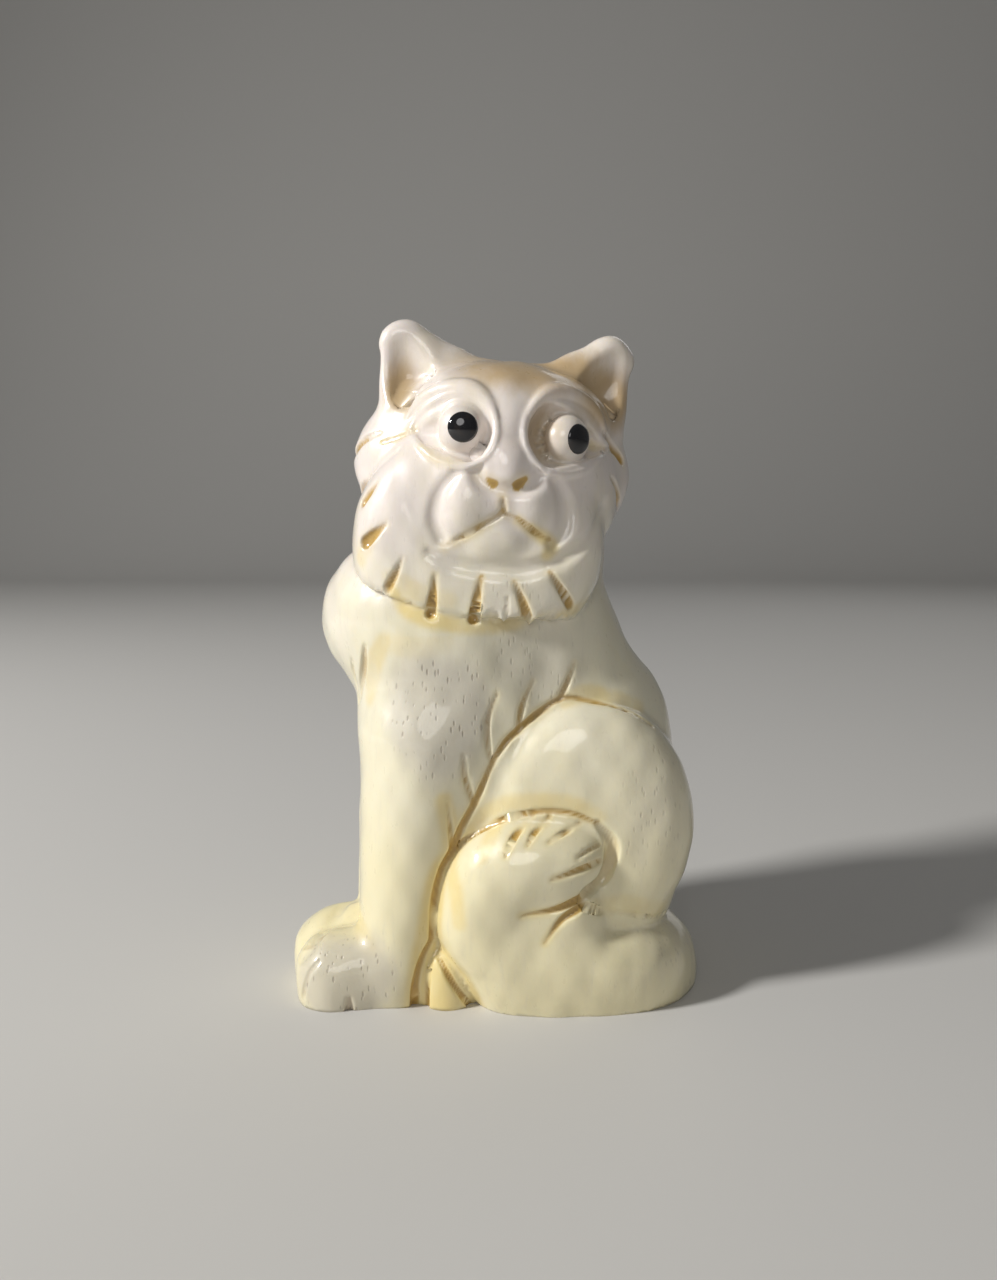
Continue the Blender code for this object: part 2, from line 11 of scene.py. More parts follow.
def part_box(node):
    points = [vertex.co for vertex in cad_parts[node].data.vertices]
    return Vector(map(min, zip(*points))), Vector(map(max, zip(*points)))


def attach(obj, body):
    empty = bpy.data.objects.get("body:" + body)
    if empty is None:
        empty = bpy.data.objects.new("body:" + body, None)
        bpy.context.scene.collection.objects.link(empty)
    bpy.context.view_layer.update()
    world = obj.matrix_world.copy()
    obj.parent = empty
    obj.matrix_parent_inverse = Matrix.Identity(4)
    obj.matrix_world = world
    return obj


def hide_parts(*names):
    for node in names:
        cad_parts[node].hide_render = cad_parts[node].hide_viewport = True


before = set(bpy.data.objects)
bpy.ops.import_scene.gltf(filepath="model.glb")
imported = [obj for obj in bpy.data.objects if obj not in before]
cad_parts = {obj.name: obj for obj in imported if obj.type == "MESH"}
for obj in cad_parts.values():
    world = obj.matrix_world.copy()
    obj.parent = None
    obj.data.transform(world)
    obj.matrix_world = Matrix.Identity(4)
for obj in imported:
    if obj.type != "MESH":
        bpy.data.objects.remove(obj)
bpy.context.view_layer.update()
started = time.time()


def report(words):
    print(f"{time.time() - started:6.1f} s  {words}")


# A seated cat carved in one piece from bone-coloured material and polished, with two black inlaid
# pupils. The carving is written in hundredths of the figure's height: X to the right, Y away, Z up.
# The body shows its left side to the camera, chest towards -X, and the head looks along -Y.
catBody = {
    "height": 0.055,          # metres, for one hundred of the units below
    "foot": 0.364,            # what is trimmed off below
    "roughGrain": 1.3,
    "grain": 0.62,            # twice as fine on the face and along the lines, and again at the eyes
    "quickGrain": 0.9,
    "fineWithin": 0.7,        # how far from a line the finer mesh reaches
    "headCentre": (0.5, -2.0, 78.0),
    "headYaw": 7,             # degrees, turned to the viewer's right
    "headLean": 5,
    "face": (13.5, 12, 0.5),  # half width, half height and middle of the finely meshed face
    "faceFront": 7,           # how far in front of the head's centre it begins
    "eyeball": (3.4, 2.8, 3.4),
    # across, up and out of the face, then how far it looks to the viewer's right, in degrees
    "eyes": {"left": (7.4, 5.5, 11.0, 34), "right": (-7.4, 5.5, 11.3, -4)},
    "flank": (6, 0.62),       # below this height the flanks keep this share of their slope
    "hem": (64.6, -0.184, 0.488, 1.128),   # height, rise along X and Y, and the length of that
    "waver": 0.08,            # how far the hand-worked surface strays from true
    "line": (0.2, 0.25),      # softness of a line's edges, and how far its middle is lifted
    "ridge": (0.6, -0.35),
    "fold": (1.3, 0.3),
}
# How softly each part of the figure meets the rest
joins = {
    "haunch": 0.6, "legs": 2.5, "tail": 0.45, "hem": 0.5, "ruff": 0.3, "head": 0.8,
    "earHollow": 1.2, "socket": 0.5, "eyeball": 0.9, "eyeballEdge": 0.05,
}
far = 1e3
share = catBody["height"] / 100
headCentre = np.array(catBody["headCentre"])
headTurn = np.array(
    Matrix.Rotation(math.radians(catBody["headLean"]), 3, "Y")
    @ Matrix.Rotation(math.radians(catBody["headYaw"]), 3, "Z")
)


def onHead(across, up, out):
    return headCentre + headTurn @ np.array((across, -out, up))


def turned(x=0.0, y=0.0, z=0.0):
    return np.array(Euler([math.radians(a) for a in (x, y, z)]).to_matrix())


# A mass is its middle, its reach, its distance function and the round lumps that rough it out
def ball(centre, radii, turn=np.eye(3)):
    centre, radii = np.array(centre, float), np.array(radii, float)

    def distance(p):
        q = (p - centre) @ turn
        near = np.linalg.norm(q / radii, axis=1)
        slope = np.linalg.norm(q / radii**2, axis=1)
        return near * (near - 1) / np.maximum(slope, 1e-6)

    return centre, radii.max(), distance, [(centre, radii, turn)]


def pillow(centre, radii):                 # a ball with a fuller, flatter face towards Y
    centre, radii = np.array(centre, float), np.array(radii, float)
    a, b, c = radii

    def distance(p):
        q = p - centre
        roundPart = (q[:, 0] / a) ** 2 + (q[:, 2] / c) ** 2
        deep = np.abs(q[:, 1] / b)
        k = np.maximum((roundPart**2 + deep**4) ** 0.25, 1e-6)
        slope = (roundPart * q[:, 0] / a**2, deep**3 / b, roundPart * q[:, 2] / c**2)
        slope = np.stack(slope, 1) / k[:, None] ** 3
        return (k - 1) / np.maximum(np.linalg.norm(slope, axis=1), 1e-3)

    return centre, radii.max() * 1.2, distance, [(centre, radii, np.eye(3))]


def bar(a, b, radiusA, radiusB, turn=None, flat=1.0):
    a, b = np.array(a, float), np.array(b, float)
    along = b - a

    def distance(p):
        if turn is not None:
            q = (p - a) @ turn
            q[:, 1] /= flat
            p = a + q @ turn.T
        h = np.clip((p - a) @ along / (along @ along), 0, 1)
        gap = np.linalg.norm(p - a - h[:, None] * along, axis=1)
        return (gap - (radiusA + (radiusB - radiusA) * h)) * flat

    lumps = []
    lumpTurn = np.eye(3) if turn is None else turn
    for h in np.linspace(0, 1, 5):
        r = radiusA + (radiusB - radiusA) * h
        lumps.append((a + along * h, np.array((r, r * flat, r)), lumpTurn))
    reach = np.linalg.norm(along) / 2 + max(radiusA, radiusB)
    return (a + b) / 2, reach, distance, lumps


def smoothPath(points, steps):
    pts = [np.array(q, float) for q in points]
    pts = [2 * pts[0] - pts[1]] + pts + [2 * pts[-1] - pts[-2]]
    out = []
    for a, b, c, d in zip(pts, pts[1:], pts[2:], pts[3:]):
        for t in np.arange(steps) / steps:
            bend = (2 * a - 5 * b + 4 * c - d) * t**2 + (3 * b - a - 3 * c + d) * t**3
            out.append(b + 0.5 * ((c - a) * t + bend))
    return np.array(out + [pts[-2]])


def rope(points, steps=4):                 # points of (x, y, z, radius)
    path = smoothPath(points, steps)
    middle = (path[:, :3].min(0) + path[:, :3].max(0)) / 2
    reach = np.linalg.norm(path[:, :3] - middle, axis=1).max() + path[:, 3].max()

    def distance(p):
        d = np.full(len(p), far)
        for a, b in zip(path, path[1:]):
            along = b[:3] - a[:3]
            h = np.clip((p - a[:3]) @ along / (along @ along), 0, 1)
            gap = np.linalg.norm(p - a[:3] - h[:, None] * along, axis=1)
            d = np.minimum(d, gap - (a[3] + (b[3] - a[3]) * h))
        return d

    return middle, reach, distance, [(q[:3], np.full(3, q[3]), np.eye(3)) for q in path]


def blend(a, b, softness):
    h = np.clip(0.5 + 0.5 * (b - a) / softness, 0, 1)
    return b * (1 - h) + a * h - softness * h * (1 - h)


def nearTo(p, shape, softness):
    return ((p - shape[0]) ** 2).sum(1) < (shape[1] + softness + 3) ** 2


def add(p, d, shape, softness):
    near = nearTo(p, shape, softness)
    d[near] = blend(d[near], shape[2](p[near]), softness)


def cut(p, d, shape, softness):
    near = nearTo(p, shape, softness)
    d[near] = -blend(-d[near], shape[2](p[near]), softness)


def headBall(place, radii, x=0.0, y=0.0, z=0.0):
    return ball(onHead(*place), radii, headTurn @ turned(x, y, z))


def headBar(a, b, radiusA, radiusB, flat):
    return bar(onHead(*a), onHead(*b), radiusA, radiusB, headTurn, flat)


# The masses, each with the softness of its join to what is before it
trunk = [
    (ball((7, 0, 32), (20.5, 14, 25)), 1),
    (ball((12.2, 1, 15), (14.2, 15, 15)), 4),
    (ball((13.4, 1, 40), (12.6, 12.5, 11.8)), 3),
    (ball((5.6, 0.5, 54), (12.7, 12.8, 13)), 5),
    (ball((-3, 0, 33), (14, 14.3, 33)), 4),
    (ball((1, 2, 66), (15.5, 11.5, 12)), 3),
    (ball((-3, 0, 2), (20, 11.5, 9)), 2),
]
nearHaunch = [
    (pillow((12.8, -5.4, 26.8), (16.4, 11, 19)), 1),
    (ball((12, -6, 14), (14, 9, 12)), 4),
]
farHaunch = [(pillow((12.8, 6.2, 26.8), (16.4, 10.8, 19)), 1)]
chestAndLegs = [
    (ball((-8.6, -0.5, 56.8), (18.6, 14.5, 14.6)), 1),
    (ball((-6, -4.4, 45), (14.6, 10.6, 17), turned(y=8)), 5),
    (ball((-9.6, 5, 44), (11.4, 8.8, 15), turned(y=8)), 5),
    (bar((-10.2, -6.2, 38), (-14.8, -10.4, 6), 10.7, 6.3), 4),
    (bar((-13, 4.5, 37), (-16.2, -1, 7), 9.4, 6.4), 1.5),
]
feet = [
    (bar((-15.5, -10.9, 6), (-24.4, -11.3, 4.2), 5.6, 6.1), 1.6),
    (bar((-16, -2.5, 6.4), (-25.5, -3.4, 3.8), 6.4, 6.8), 0.9),
    (ball((-7.6, -11.2, 3.5), (4.7, 5.6, 7)), 0.6),
    (bar((5, 10.5, 5), (-9.5, 11.8, 3.6), 5, 4.8), 1.2),
]
tail = [
    (rope((
        (1, 8.5, 4.5, 4), (11, 12, 3.6, 5.4), (18.2, 11.4, 2.8, 6.2), (22.6, 6.5, 2.4, 6.8),
        (24.2, -2.5, 2.6, 7.2), (20.8, -9.6, 5.2, 7.4), (13, -12, 6.3, 7.4), (3.5, -12.3, 7, 7.4),
        (-1.9, -12.4, 11.5, 7.2), (-1.6, -12.4, 17, 7.3), (1.6, -12.6, 21, 7.6),
        (6.4, -12.8, 22.2, 7.2), (10.2, -13.2, 22.8, 6), (11.6, -13.6, 23, 5),
    ), 5), 1),
    (pillow((4.5, -11, 14), (11.5, 8, 11)), 2),
]
ruff = [
    (pillow((-3, -3.6, 68), (18.4, 12.2, 18)), 1),
    (ball((-0.5, 3, 76), (18.3, 12.3, 12.5)), 2),
]
skull = [
    (headBall((0, 0.8, -1.5), (17.6, 16, 15.2)), 1),
    (headBall((-0.6, -4, 2.2), (17, 12.2, 11.6)), 4),        # cheeks and jaw
    (headBall((0, 9.5, 1.5), (15.5, 11, 6.6)), 3),           # forehead
    (headBall((-1.2, 1, -1.5), (21, 10.5, 13.4)), 1.2),      # mane
    (headBall((-1.8, -5.8, -1.5), (19, 11, 10.4)), 1.2),
]
# how far each ear is set to the viewer's right, and the height of its tip
earSet = {-1: (-0.9, 17.5), 1: (-0.5, 18.3)}
earHollows = []
for side, (shift, tip) in earSet.items():
    outer = (side * 15.5 + shift, tip, 0.3)
    inner = (side * 14.2 + shift, tip, 0.3)
    skull += [
        (headBar((side * 11.9 + shift, 10.5, 0.5), outer, 7.2, 3.3, 0.6), 1.6),
        (headBar((side * 4.5, 13.4, 0.5), inner, 3, 3, 0.6), 1.6),
    ]
    hollow = headBall((side * 14.6 + shift, tip - 3.8, 3.8), (3.7, 2.6, 6), y=side * 20)
    earHollows.append(hollow)
muzzle = [
    (headBall((-1.8, 4.2, 9.4), (4.2, 4.8, 7.6), x=-16), 1.6),    # bridge of the nose
    (headBall((-5.5, -5.2, 10.3), (4.7, 4.8, 5.7)), 1.1),    # whisker pads
    (headBall((2.9, -4.5, 10.4), (4.5, 4.9, 5.7)), 1.1),
    (headBall((-0.9, -8.8, 10.6), (6.9, 4.1, 4.9)), 0.5),    # chin
    (headBall((-0.9, 0.8, 13.8), (3.1, 1.8, 3.7)), 0.5),     # nose and its wings
    (headBall((-3.4, 0.2, 13.6), (1.5, 1.3, 2.5)), 0.5),
    (headBall((1.6, 0.3, 13.6), (1.5, 1.3, 2.5)), 0.5),
]
# each socket is round by the nose and drawn out to a corner
sockets = [
    headBar((-7.8, 5.2, 13.6), (-14.2, 4.8, 4.9), 4.3, 0.7, 0.65),
    headBar((6.3, 6.0, 14.4), (13.6, 4.9, 8.1), 5.0, 0.8, 1.0),
]
eyeballs = [
    headBall((across, up, out), catBody["eyeball"], z=away)
    for across, up, out, away in catBody["eyes"].values()
]


def form(p):
    q = p.copy()
    flankHeight, flankSlope = catBody["flank"]
    low = q[:, 2] < flankHeight
    q[low, 2] = flankHeight - (flankHeight - q[low, 2]) * flankSlope
    d = np.full(len(p), far)
    for shape, softness in trunk:
        add(q, d, shape, softness)
    limbs = ((nearHaunch, "haunch"), (farHaunch, "haunch"), (chestAndLegs, "legs"))
    for group, join in limbs:
        limb = np.full(len(p), far)
        for shape, soft in group:
            add(q, limb, shape, soft)
        d = blend(d, limb, joins[join])
    for shape, softness in feet:
        add(q, d, shape, softness)
    curl = np.full(len(p), far)
    for shape, softness in tail:
        add(q, curl, shape, softness)
    d = blend(d, curl, joins["tail"])
    # the ruff ends below in a step that slants up and back round the neck
    collar = np.full(len(p), far)
    for shape, softness in ruff:
        add(p, collar, shape, softness)
    height, alongX, alongY, slope = catBody["hem"]
    hem = (p[:, 2] - (height + alongX * p[:, 0] + alongY * p[:, 1])) / slope
    d = blend(d, -blend(-collar, hem, joins["hem"]), joins["ruff"])
    head = np.full(len(p), far)
    for shape, softness in skull:
        add(p, head, shape, softness)
    for hollow in earHollows:
        cut(p, head, hollow, joins["earHollow"])
    d = blend(d, head, joins["head"])
    for shape, softness in muzzle:
        add(p, d, shape, softness)
    for socket in sockets:
        cut(p, d, socket, joins["socket"])
    for eyeball in eyeballs:
        add(p, d, eyeball, joins["eyeball"])
    return d


# Lines are drawn on one elevation of the figure and laid on its surface from there:
# what is across, what is up, which way is in, and where the drawing starts from
rightwards, awayFrom, upwards = np.eye(3)
looks = {
    "front": (rightwards, upwards, awayFrom, np.zeros(3)),
    "back": (rightwards, upwards, -awayFrom, np.zeros(3)),
    "chest": (awayFrom, upwards, rightwards, np.zeros(3)),
    "rump": (awayFrom, upwards, -rightwards, np.zeros(3)),
    "face": (headTurn[:, 0], headTurn[:, 2], headTurn[:, 1], headCentre),
}


def slopeOf(surface, p):
    step = 0.04
    d = surface(p)
    slope = np.stack([surface(p + np.eye(3)[i] * step) - d for i in range(3)], 1) / step
    steep = np.maximum(np.linalg.norm(slope, axis=1), 0.3)
    return slope / steep[:, None], steep, d


def lay(lines, lift):
    clearOf, strides, pace = 45, 80, 0.8   # start well outside the figure and walk in
    start, inward, radius = [], [], []
    for look, points, *_ in lines:
        across, up, way, origin = looks[look]
        for x, z, r in points:
            start.append(origin + x * across + z * up - way * clearOf)
            inward.append(way)
            radius.append((r,))
    p, inward, radius = np.array(start), np.array(inward), np.array(radius)
    for _ in range(strides):
        p = p + np.clip(form(p), -0.5, 2.5)[:, None] * pace * inward
    laid = np.hstack([p + slopeOf(form, p)[0] * radius * lift, radius])
    ends = np.cumsum([len(points) for _, points, *_ in lines])
    return [rope(part) for part in np.split(laid, ends[:-1])]


# lids: middle across and up, reach towards the nose and away from it
lids = ((-7.8, 5.2, 4.85, 6.6), (6.2, 6.0, 5.4, 8.0))
lid = {"radius": 0.42, "rise": 0.2, "pinch": 0.4, "taper": 0.2}
brow = {"toNose": 4.9, "away": 7.4, "rise": 6.2, "radius": 1.2, "taper": 1.6}


def eyeRing(across, up, reach, corner):
    side = 1 if across > 0 else -1
    rise = reach + lid["rise"]
    ring = []
    for angle in np.linspace(0, 2 * math.pi, 19):
        c, s = math.cos(angle), math.sin(angle)
        if c > 0:                          # towards the nose the lid is round
            ring.append((across - side * reach * c, up + rise * s, lid["radius"]))
        else:                              # away from it, it is drawn out to a corner
            height = up + rise * s * abs(s) ** lid["pinch"]
            radius = lid["radius"] * (1 + lid["taper"] * c)
            ring.append((across - side * corner * c, height, radius))
    return ring


def browOver(across, up):
    side = 1 if across > 0 else -1
    arc = []
    for angle in np.radians(np.linspace(20, 165, 13)):
        c, s = math.cos(angle), math.sin(angle)
        reach = brow["toNose"] if c > 0 else brow["away"]
        radius = brow["radius"] * s ** brow["taper"]
        arc.append((across - side * reach * c, up + brow["rise"] * s, radius))
    return arc


ridges = []
for across, up, reach, corner in lids:
    ridges.append(("face", eyeRing(across, up, reach, corner)))
    ridges.append(("face", browOver(across, up)))
# Soft folds, each the elevation it is drawn on and its (across, up, radius) points
folds = [
    # under the jaw
    ("front", [
        (-9.6, 67, 0.1), (-6, 65.4, 0.5), (-1, 64.6, 0.9), (4, 64.6, 1.0), (8.5, 66, 0.9),
        (12.8, 69, 0.6), (15.3, 73.6, 0.2),
    ]),
    # round the nose's wings
    ("face", [
        (-5.2, 2.6, 0.4), (-5.5, 0.5, 0.7), (-4.8, -1.3, 0.8), (-3.2, -2.2, 0.7), (-1.2, -2.4, 0.6),
        (0.6, -2.2, 0.7), (2.6, -1.1, 0.8), (3.5, 0.6, 0.7), (3.1, 2.5, 0.4),
    ]),
    # between the paw's toes
    ("front", [(-22.1, 12.2, 0.3), (-24.6, 11, 0.6), (-27.3, 9.2, 0.6), (-29.1, 7.2, 0.4)]),
    # beside the mouth
    ("face", [(-8.2, -0.9, 0.3), (-10, -3.6, 0.5), (-10.4, -7, 0.6), (-9.2, -9.8, 0.5)]),
    ("face", [(5.6, -0.4, 0.3), (7.4, -3.3, 0.8), (7.6, -6.8, 1.0), (6.4, -9.2, 0.7)]),
]
# Grooves have a third value too, how amber they have grown
grooves = [
    # mouth and nostrils
    ("front", [
        (0.6, 74.4, 0.3), (0.5, 72.5, 0.5), (-2.5, 70.6, 0.45), (-5.3, 69, 0.4), (-7.1, 68, 0.25),
    ], 0.8),
    ("front", [(0.7, 72.4, 0.4), (2.9, 71.4, 0.45), (5.3, 69.6, 0.5), (7.7, 68.5, 0.3)], 0.9),
    ("front", [(-0.7, 76.2, 0.7), (-1.6, 76.8, 0.45)], 1.2),
    ("front", [(2.7, 76.2, 0.8), (3.6, 76.9, 0.5)], 1.3),
    # lines drawn out from the corners of the eyes
    ("front", [(-11.8, 83.9, 0.25), (-14.1, 83.2, 0.4), (-16.9, 82.5, 0.25)], 0.5),
    ("front", [(13.8, 82, 0.25), (15.4, 81.7, 0.35), (17.2, 81.3, 0.25)], 0.7),
    # notches of the ruff, widest at its hem
    ("front", [(-13.4, 66.2, 0.25), (-14.3, 64.2, 0.6), (-15.6, 61.9, 0.8)], 0.6),
    ("front", [(-8.8, 63.9, 0.25), (-9.1, 61.5, 0.6), (-9.5, 58.4, 0.85)], 0.9),
    ("front", [(-2.3, 64.1, 0.25), (-2.9, 61.1, 0.6), (-3.5, 57.6, 0.9)], 1.0),
    ("front", [(1.3, 60.7, 0.25), (1.1, 57.7, 0.4)], 0.4),
    ("front", [(2.2, 63, 0.25), (3.2, 60.6, 0.6), (4.2, 57.6, 0.85)], 0.9),
    ("front", [(7, 64.5, 0.25), (8.4, 62.4, 0.6), (10.2, 59.4, 0.8)], 0.8),
    # tufts of the mane
    ("front", [(-15.6, 70.9, 0.3), (-17.3, 69.6, 0.8), (-18.8, 68.3, 1.1)], 0.7),
    ("front", [(-17.1, 76.6, 0.3), (-18.2, 75.3, 0.8), (-19.2, 74, 0.9)], 0.7),
    # shoulder, and the fur in front of the haunch
    ("chest", [(-12.1, 53.6, 0.3), (-10.8, 50, 0.7), (-7.9, 44.8, 0.4)], 0.5),
    ("chest", [(-9.6, 51.3, 0.2), (-8.2, 48.1, 0.4), (-7.1, 44.3, 0.3)], 0.5),
    ("front", [(-0.2, 46.9, 0.25), (-1.5, 43.2, 0.5), (-1.5, 39.6, 0.5), (-0.9, 36.7, 0.4)], 0.8),
    ("front", [(5, 48.6, 0.25), (3.4, 45, 0.5), (2.8, 41.2, 0.45)], 0.9),
    ("front", [(11, 50.8, 0.25), (9.8, 47.7, 0.5), (8.7, 45.5, 0.5)], 0.9),
    ("front", [(-5, 38.2, 0.25), (-4.7, 34.6, 0.5), (-3.5, 30.8, 0.5)], 0.9),
    ("front", [(-7.3, 31.2, 0.2), (-6.9, 27.2, 0.45), (-6.7, 24, 0.45)], 0.9),
    # edge of the haunch, from the hind foot up over the thigh
    ("front", [
        (-9.8, 10.5, 0.5), (-9.3, 16.8, 0.6), (-8.2, 21.3, 0.6), (-6.6, 24, 0.7), (-5.4, 27.3, 0.6),
        (-3.4, 31, 0.6), (-1, 36.6, 0.5), (1, 39.8, 0.6), (3.4, 42, 0.6), (6, 44, 0.6),
        (9.2, 45.8, 0.5), (13.3, 45.4, 0.45), (17.7, 44.3, 0.4), (22.4, 41.6, 0.25),
    ], 1.0),
    # hind toes
    ("front", [(-9.8, 10.5, 0.5), (-11.2, 7.8, 0.6), (-12.1, 4.1, 0.7), (-12.4, 0, 0.8)], 1.0),
    ("front", [(-9.9, 7.2, 0.3), (-10.4, 3.9, 0.5), (-10.6, 0, 0.6)], 0.8),
    ("front", [(-8.9, 8.2, 0.3), (-7.6, 6.2, 0.55), (-5.7, 3, 0.55), (-4, 0, 0.6)], 1.0),
    # outline of the tail's curl
    ("front", [
        (-6.3, 24.1, 0.5), (-4.2, 25.8, 0.5), (0.2, 28.5, 0.5), (5.2, 30.1, 0.5), (10.2, 30, 0.5),
        (14.1, 28.5, 0.4),
    ], 0.9),
    ("front", [
        (14.1, 28.5, 0.6), (16.1, 25.7, 1.1), (15.9, 22.8, 1.2), (14.5, 20.2, 1.2),
        (12.5, 18.7, 1.1), (12.1, 17.2, 0.9), (14.7, 15.7, 0.6), (19.9, 14.5, 0.5),
        (24.8, 13.1, 0.45),
    ], 0.25),
    # hair of the tail's tip
    ("front", [(4.9, 29.7, 0.4), (2.5, 27.3, 0.6), (1, 24.6, 0.25)], 0.9),
    ("front", [(7.2, 29.4, 0.4), (5.3, 27.7, 0.5), (4, 26, 0.25)], 0.9),
    ("front", [(11.6, 28.5, 0.35), (9.5, 27.5, 0.5), (7, 26.4, 0.25)], 0.7),
    ("front", [(14.4, 25.5, 0.35), (12.7, 25.1, 0.45), (11.1, 24.3, 0.25)], 0.7),
    ("front", [(14.5, 23.4, 0.4), (11.5, 22.6, 0.6), (7.5, 21.4, 0.25)], 0.9),
    ("front", [(11.5, 18.1, 0.7), (8, 16.7, 0.6), (3.3, 15.9, 0.25)], 1.0),
    ("front", [(11.5, 16.7, 0.7), (9, 15.2, 0.6), (6.6, 11.8, 0.25)], 1.0),
    # front paws, with the small chip in the near one's lower edge
    ("front", [(-25.4, 10.2, 0.2), (-28.2, 8.6, 0.35), (-30.2, 6.5, 0.25)], 0.5),
    ("front", [(-26.1, 7.6, 0.2), (-27.7, 5.7, 0.4), (-28.6, 2, 0.4)], 0.4),
    ("front", [(-21.7, 2.4, 0.4), (-21.8, 0.2, 0.8)], 0.9),
]
# Out of the photographed side: tufts down both edges of the mane and across its back
for height in (82.5, 76):
    tuft = [(-8, height + 1.5, 0.3), (-5.5, height, 0.8), (-2.5, height - 2, 1.0)]
    for look in ("chest", "rump"):
        grooves.append((look, tuft, 0.6))
for across in (-13, -8, -3, 2, 7, 12):
    tuft = [(across, 76.8, 0.3), (across + 0.3, 74.6, 0.5), (across + 0.6, 71.9, 0.8)]
    grooves.append(("back", tuft, 0.7))
# then the far haunch, its fur and the far feet
grooves += [
    ("back", [
        (-7.5, 9.5, 0.5), (-8.6, 14.5, 0.6), (-8, 20, 0.6), (-5.4, 27.3, 0.6), (-1.6, 35.4, 0.6),
        (3.4, 42, 0.6), (9.2, 45.6, 0.5), (15.5, 45, 0.45), (21.5, 41.8, 0.25),
    ], 0.9),
    ("back", [(-8.5, 44.5, 0.25), (-6.6, 40, 0.5), (-3.2, 36, 0.4)], 0.8),
    ("back", [(-3, 48.5, 0.25), (-1.4, 44.4, 0.5), (2, 41.2, 0.4)], 0.8),
    ("back", [(-11, 35.5, 0.25), (-9.2, 31, 0.5), (-6, 27, 0.4)], 0.8),
    ("back", [(-10.4, 7.4, 0.3), (-11.6, 4.4, 0.5), (-11.8, 0, 0.6)], 0.7),
    ("back", [(-8, 8, 0.3), (-8.6, 4.6, 0.5), (-8.4, 0, 0.6)], 0.7),
    ("back", [(-27, 8.4, 0.2), (-28.4, 6, 0.4), (-29, 1.5, 0.5)], 0.5),
]

cords = lay(ridges, catBody["ridge"][1])
cuts = lay(grooves, catBody["line"][1])
creases = lay(folds, catBody["fold"][1])
report("lines laid")


def carved(p):
    x, y, z = p.T
    waver = np.sin(0.83 * x + 0.31 * z + 1.1) * np.sin(0.42 * z - 0.57 * y)
    waver += 0.6 * np.sin(1.27 * x - 0.66 * y + 0.2) * np.sin(0.71 * z)
    d = form(p) + catBody["waver"] * waver
    for crease in creases:
        cut(p, d, crease, catBody["fold"][0])
    for cord in cords:
        add(p, d, cord, catBody["ridge"][0])
    for eyeball in eyeballs:               # once more, clear of the waver and the lids
        add(p, d, eyeball, joins["eyeballEdge"])
    for groove in cuts:
        cut(p, d, groove, catBody["line"][0])
    return d


def inParts(work, p):
    with ThreadPoolExecutor(4) as pool:
        return np.concatenate(list(pool.map(work, np.array_split(p, 8))))


def points(obj):
    p = np.empty(len(obj.data.vertices) * 3)
    obj.data.vertices.foreach_get("co", p)
    return p.reshape(-1, 3)


def settle(obj, surface, rounds):
    furthest, second = 1.2, 0.6            # how far a point may move in each of a round's two steps

    def work(p):
        for _ in range(rounds):
            slope, steep, d = slopeOf(surface, p)
            p = p - np.clip(d / steep, -furthest, furthest)[:, None] * slope
            p = p - np.clip(surface(p) / steep, -second, second)[:, None] * slope
        return p

    obj.data.vertices.foreach_set("co", inParts(work, points(obj)).ravel())
    obj.data.update()


def applyModifier(obj, kind, **values):
    modifier = obj.modifiers.new(kind.title(), kind)
    for name, value in values.items():
        setattr(modifier, name, value)
    view = bpy.context.evaluated_depsgraph_get()
    mesh = bpy.data.meshes.new_from_object(obj.evaluated_get(view))
    obj.modifiers.clear()
    obj.data = mesh


def newObject(name, bm):
    mesh = bpy.data.meshes.new(name)
    bm.to_mesh(mesh)
    bm.free()
    obj = bpy.data.objects.new(name, mesh)
    bpy.context.scene.collection.objects.link(obj)
    return obj


# Rough out the block from round lumps, then carve it
rough = bmesh.new()
ruffBlock = (np.array((-3, -3.6, 66)), np.array((17, 11.5, 9)), np.eye(3))
masses = (trunk, nearHaunch, farHaunch, chestAndLegs, feet, tail, skull, muzzle)
lumps = [lump for group in masses for shape, _ in group for lump in shape[3]]
for centre, radii, turn in lumps + [ruffBlock]:
    lumpTurn = Matrix(turn.tolist()).to_4x4()
    place = Matrix.Translation(centre) @ lumpTurn @ Matrix.Diagonal((*radii, 1))
    bmesh.ops.create_icosphere(rough, subdivisions=3, radius=1, matrix=place)
cat = newObject("carved_cat", rough)
applyModifier(cat, "REMESH", mode="VOXEL", voxel_size=catBody["roughGrain"])
settle(cat, form, 5)
applyModifier(cat, "REMESH", mode="VOXEL", voxel_size=catBody["grain"])
settle(cat, form, 2)
report(f"block of {len(cat.data.vertices)} points")

# Finer mesh on the face and along every line
everyLine = cuts + cords


def toLines(p):
    d = np.full(len(p), far)
    for line in everyLine:
        near = nearTo(p, line, 0)
        d[near] = np.minimum(d[near], line[2](p[near]))
    onFace = (p - headCentre) @ headTurn
    halfWidth, halfHeight, middleUp = catBody["face"]
    beside = np.abs(onFace[:, 0]) - halfWidth
    face = np.maximum(beside, np.abs(onFace[:, 2] - middleUp) - halfHeight)
    face = np.maximum(face, onFace[:, 1] + catBody["faceFront"])
    return np.minimum(d, face)


def toEyes(p):
    onFace = (p - headCentre) @ headTurn
    d = np.full(len(p), far)
    for across, up, reach, _ in lids:
        d = np.minimum(d, np.hypot(onFace[:, 0] - across, onFace[:, 2] - up) - reach)
    return np.maximum(d, onFace[:, 1] + catBody["faceFront"])


